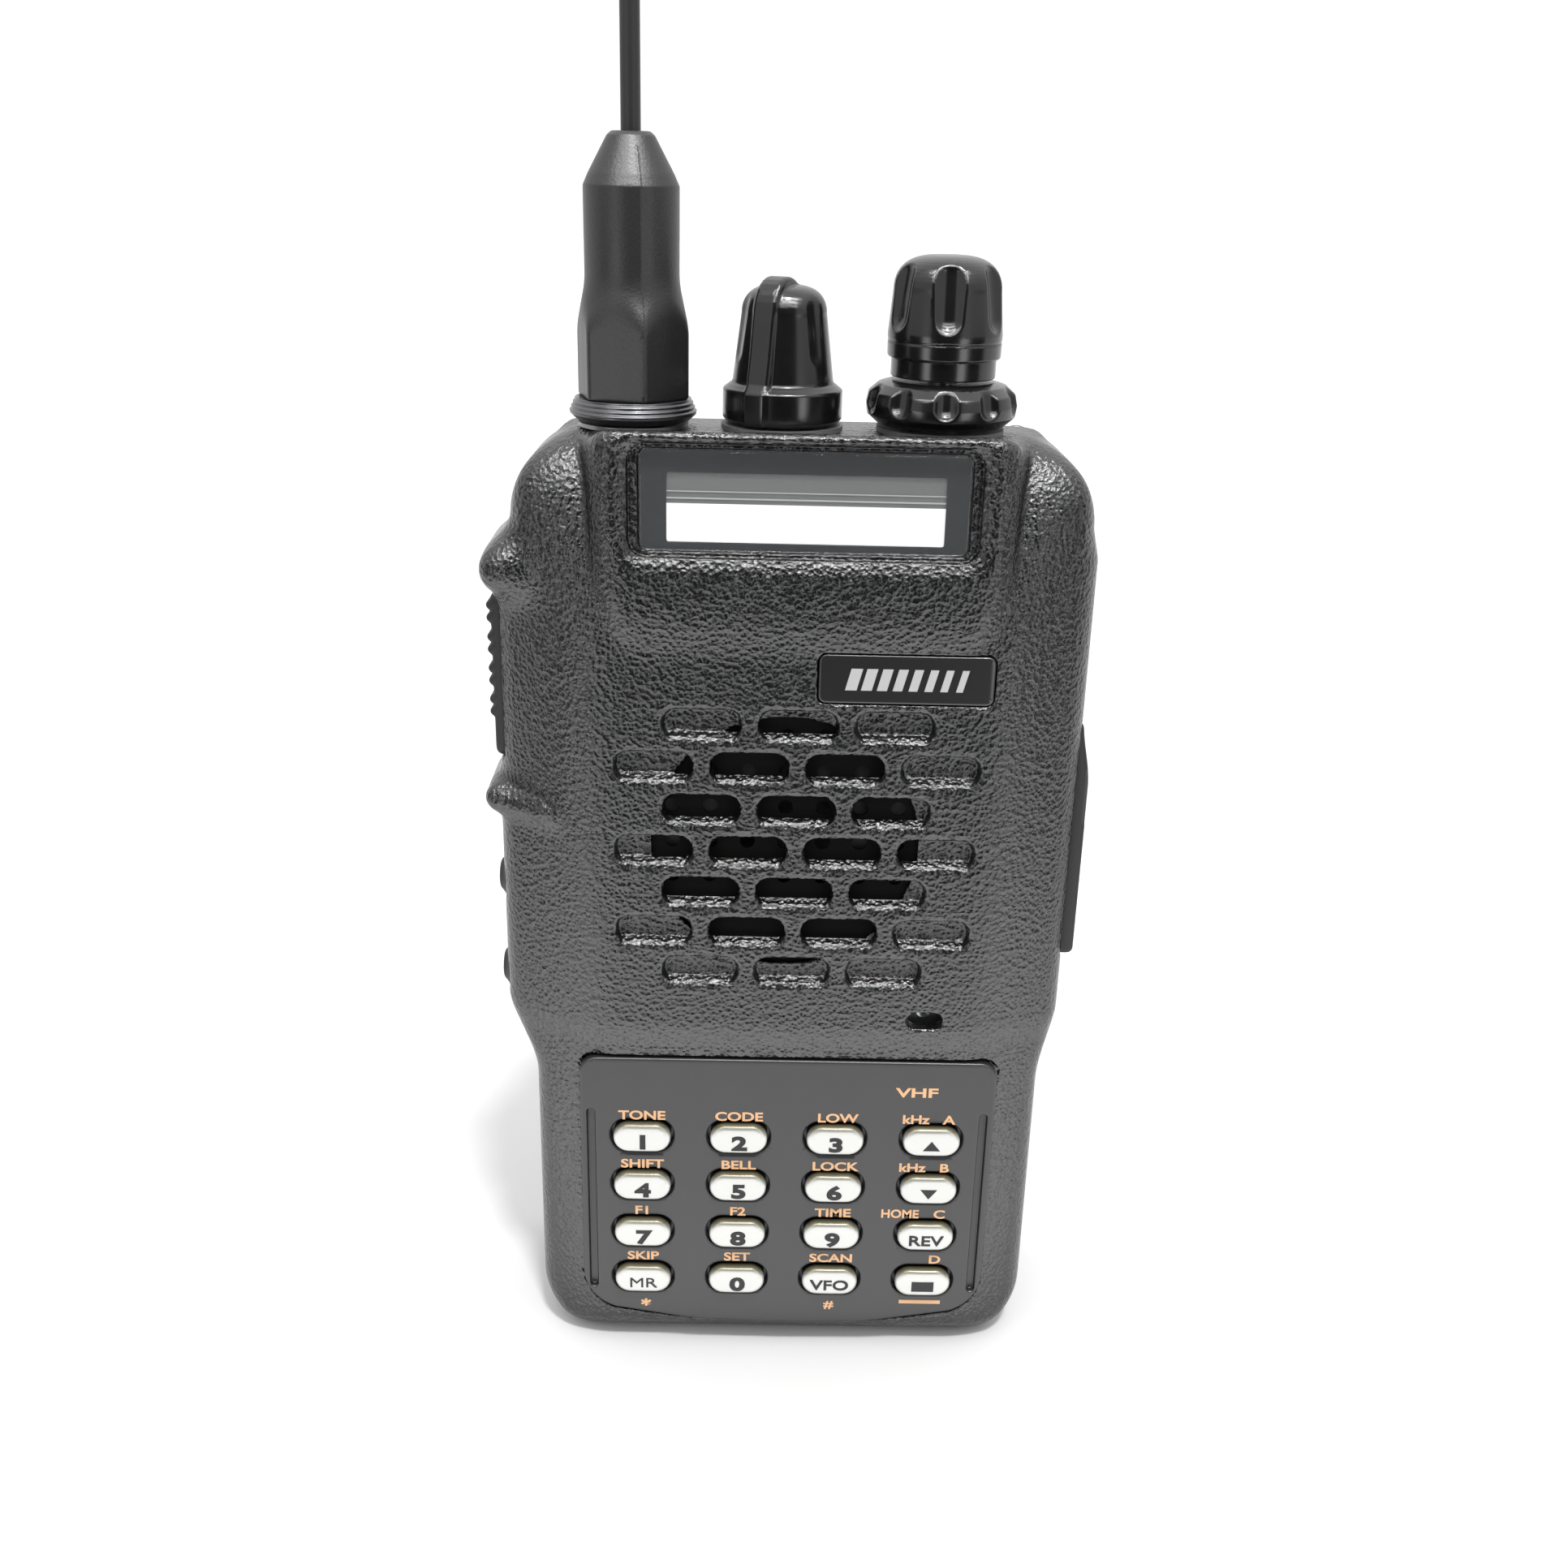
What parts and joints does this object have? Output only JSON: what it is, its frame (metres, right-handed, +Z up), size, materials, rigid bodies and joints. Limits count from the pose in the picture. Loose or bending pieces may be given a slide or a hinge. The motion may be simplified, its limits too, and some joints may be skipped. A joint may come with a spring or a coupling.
{
  "type": "handheld two-way radio",
  "caption": "Handheld two-way radio with keypad, display, speaker grille, top knobs, whip antenna, side talk button, clip-on battery and belt clip.",
  "frame": {"origin": "centre of the base, under the middle of the body's width and depth", "axes": "+Z up along the body and antenna; the display, grille and keypad face -Y; the talk button is on the -X side and the jacks on the +X side"},
  "size_m": [0.0652, 0.0345, 0.268],
  "materials": {
    "case_plastic": "fine leather-like moulded grain, satin",
    "panel_plastic": "smooth satin",
    "key_rubber": "translucent grey-white silicone, satin",
    "lens_clear": "clear hard-coated plastic",
    "lcd_face": "pale display face",
    "white_plastic": "white light guide",
    "circuit_board": "green solder mask",
    "dark_steel": "blackened steel",
    "cone_paper": "black film",
    "grille_cloth": "black acoustic cloth",
    "plate_plastic": "smooth satin",
    "bare_steel": "plated steel",
    "chassis_paint": "black painted die casting",
    "seal_rubber": "matt black",
    "knob_plastic": "semi-gloss black",
    "plated_brass": "plated contact",
    "collar_metal": "dark machined metal with fine grooves",
    "boot_rubber": "matt moulded rubber",
    "whip_sleeve": "extruded black sleeve",
    "button_rubber": "matt black",
    "jack_plastic": "black",
    "pack_plastic": "moulded grain, satin",
    "cell_wrap": "film wrapped metal can",
    "clip_plastic": "satin"
  },
  "bodies": {
    "radio": {"front_case": "case_plastic", "keypad_panel": "panel_plastic", "lcd_lens": "lens_clear", "lcd_module": "lcd_face", "lcd_holder": "white_plastic", "main_board": "circuit_board", "keypad_board": "circuit_board", "side_switches": "circuit_board", "speaker_frame": "dark_steel", "clip_spring": "dark_steel", "case_screws": "dark_steel", "speaker_cone": "cone_paper", "speaker_mesh": "grille_cloth", "name_plate": "plate_plastic", "microphone": "bare_steel", "shield_can": "bare_steel", "selector_encoder": "bare_steel", "volume_control": "bare_steel", "clip_pin": "bare_steel", "rear_chassis": "chassis_paint", "case_seal": "seal_rubber", "shaft_seals": "seal_rubber", "antenna_socket": "plated_brass", "battery_contacts": "plated_brass", "jack_block": "jack_plastic", "battery_case": "pack_plastic", "battery_lid": "pack_plastic", "battery_cells": "cell_wrap", "clip_bracket": "clip_plastic"},
    "selector": {"selector_shaft": "bare_steel", "selector_knob": "knob_plastic"},
    "volume": {"volume_shaft": "bare_steel", "volume_knob": "knob_plastic"},
    "squelch": {"squelch_sleeve": "bare_steel", "squelch_ring": "knob_plastic"},
    "antenna": {"antenna_collar": "collar_metal", "antenna_boot": "boot_rubber", "antenna_whip": "whip_sleeve"},
    "talk_button": {"ptt_button": "button_rubber"},
    "monitor": {"monitor_button": "button_rubber"},
    "lamp": {"lamp_button": "button_rubber"},
    "jack_door": {"jack_cover": "seal_rubber"},
    "latch": {"battery_latch": "pack_plastic"},
    "clip": {"belt_clip": "clip_plastic"},
    "key_1_cap": {"key_1": "key_rubber"},
    "key_2_cap": {"key_2": "key_rubber"},
    "key_3_cap": {"key_3": "key_rubber"},
    "key_up_cap": {"key_up": "key_rubber"},
    "key_4_cap": {"key_4": "key_rubber"},
    "key_5_cap": {"key_5": "key_rubber"},
    "key_6_cap": {"key_6": "key_rubber"},
    "key_down_cap": {"key_down": "key_rubber"},
    "key_7_cap": {"key_7": "key_rubber"},
    "key_8_cap": {"key_8": "key_rubber"},
    "key_9_cap": {"key_9": "key_rubber"},
    "key_reverse_cap": {"key_reverse": "key_rubber"},
    "key_recall_cap": {"key_recall": "key_rubber"},
    "key_0_cap": {"key_0": "key_rubber"},
    "key_tuning_cap": {"key_tuning": "key_rubber"},
    "key_function_cap": {"key_function": "key_rubber"}
  },
  "joints": [
    {"name": "key_1_press", "type": "slide", "parent": "radio", "child": "key_1_cap", "axis": [0, 1, 0], "range_m": [0, 0.0005], "stiffness_N_per_m": 400, "springref_m": -0.0003},
    {"name": "key_2_press", "type": "slide", "parent": "radio", "child": "key_2_cap", "axis": [0, 1, 0], "range_m": [0, 0.0005], "stiffness_N_per_m": 400, "springref_m": -0.0003},
    {"name": "key_3_press", "type": "slide", "parent": "radio", "child": "key_3_cap", "axis": [0, 1, 0], "range_m": [0, 0.0005], "stiffness_N_per_m": 400, "springref_m": -0.0003},
    {"name": "key_up_press", "type": "slide", "parent": "radio", "child": "key_up_cap", "axis": [0, 1, 0], "range_m": [0, 0.0005], "stiffness_N_per_m": 400, "springref_m": -0.0003},
    {"name": "key_4_press", "type": "slide", "parent": "radio", "child": "key_4_cap", "axis": [0, 1, 0], "range_m": [0, 0.0005], "stiffness_N_per_m": 400, "springref_m": -0.0003},
    {"name": "key_5_press", "type": "slide", "parent": "radio", "child": "key_5_cap", "axis": [0, 1, 0], "range_m": [0, 0.0005], "stiffness_N_per_m": 400, "springref_m": -0.0003},
    {"name": "key_6_press", "type": "slide", "parent": "radio", "child": "key_6_cap", "axis": [0, 1, 0], "range_m": [0, 0.0005], "stiffness_N_per_m": 400, "springref_m": -0.0003},
    {"name": "key_down_press", "type": "slide", "parent": "radio", "child": "key_down_cap", "axis": [0, 1, 0], "range_m": [0, 0.0005], "stiffness_N_per_m": 400, "springref_m": -0.0003},
    {"name": "key_7_press", "type": "slide", "parent": "radio", "child": "key_7_cap", "axis": [0, 1, 0], "range_m": [0, 0.0005], "stiffness_N_per_m": 400, "springref_m": -0.0003},
    {"name": "key_8_press", "type": "slide", "parent": "radio", "child": "key_8_cap", "axis": [0, 1, 0], "range_m": [0, 0.0005], "stiffness_N_per_m": 400, "springref_m": -0.0003},
    {"name": "key_9_press", "type": "slide", "parent": "radio", "child": "key_9_cap", "axis": [0, 1, 0], "range_m": [0, 0.0005], "stiffness_N_per_m": 400, "springref_m": -0.0003},
    {"name": "key_reverse_press", "type": "slide", "parent": "radio", "child": "key_reverse_cap", "axis": [0, 1, 0], "range_m": [0, 0.0005], "stiffness_N_per_m": 400, "springref_m": -0.0003},
    {"name": "key_recall_press", "type": "slide", "parent": "radio", "child": "key_recall_cap", "axis": [0, 1, 0], "range_m": [0, 0.0005], "stiffness_N_per_m": 400, "springref_m": -0.0003},
    {"name": "key_0_press", "type": "slide", "parent": "radio", "child": "key_0_cap", "axis": [0, 1, 0], "range_m": [0, 0.0005], "stiffness_N_per_m": 400, "springref_m": -0.0003},
    {"name": "key_tuning_press", "type": "slide", "parent": "radio", "child": "key_tuning_cap", "axis": [0, 1, 0], "range_m": [0, 0.0005], "stiffness_N_per_m": 400, "springref_m": -0.0003},
    {"name": "key_function_press", "type": "slide", "parent": "radio", "child": "key_function_cap", "axis": [0, 1, 0], "range_m": [0, 0.0005], "stiffness_N_per_m": 400, "springref_m": -0.0003},
    {"name": "talk_press", "type": "slide", "parent": "radio", "child": "talk_button", "axis": [1, 0, 0], "range_m": [0, 0.001], "stiffness_N_per_m": 600, "springref_m": -0.0005},
    {"name": "monitor_press", "type": "slide", "parent": "radio", "child": "monitor", "axis": [1, 0, 0], "range_m": [0, 0.0006], "stiffness_N_per_m": 500, "springref_m": -0.0003},
    {"name": "lamp_press", "type": "slide", "parent": "radio", "child": "lamp", "axis": [1, 0, 0], "range_m": [0, 0.0006], "stiffness_N_per_m": 500, "springref_m": -0.0003},
    {"name": "latch_slide", "type": "slide", "parent": "radio", "child": "latch", "axis": [0, 0, 1], "range_m": [0, 0.0025], "stiffness_N_per_m": 300, "springref_m": -0.0008},
    {"name": "selector_turn", "type": "hinge", "parent": "radio", "child": "selector", "pos_m": [-0.00235, -0.0024, 0.112], "axis": [0, 0, -1], "continuous": true},
    {"name": "volume_turn", "type": "hinge", "parent": "radio", "child": "volume", "pos_m": [0.0138, -0.0024, 0.118], "axis": [0, 0, -1], "range_deg": [0, 280]},
    {"name": "squelch_turn", "type": "hinge", "parent": "radio", "child": "squelch", "pos_m": [0.0138, -0.0024, 0.11], "axis": [0, 0, -1], "range_deg": [0, 280]},
    {"name": "antenna_turn", "type": "hinge", "parent": "radio", "child": "antenna", "pos_m": [-0.0175, -0.0024, 0.112], "axis": [0, 0, 1], "continuous": true},
    {"name": "jack_door_hinge", "type": "hinge", "parent": "radio", "child": "jack_door", "pos_m": [0.0314, 0.001, 0.0638], "axis": [0, 0, 1], "range_deg": [0, 100]},
    {"name": "clip_hinge", "type": "hinge", "parent": "radio", "child": "clip", "pos_m": [0, 0.0172, 0.096], "axis": [1, 0, 0], "range_deg": [0, 20], "stiffness_Nm_per_rad": 0.4, "springref_deg": -11.46}
  ]
}
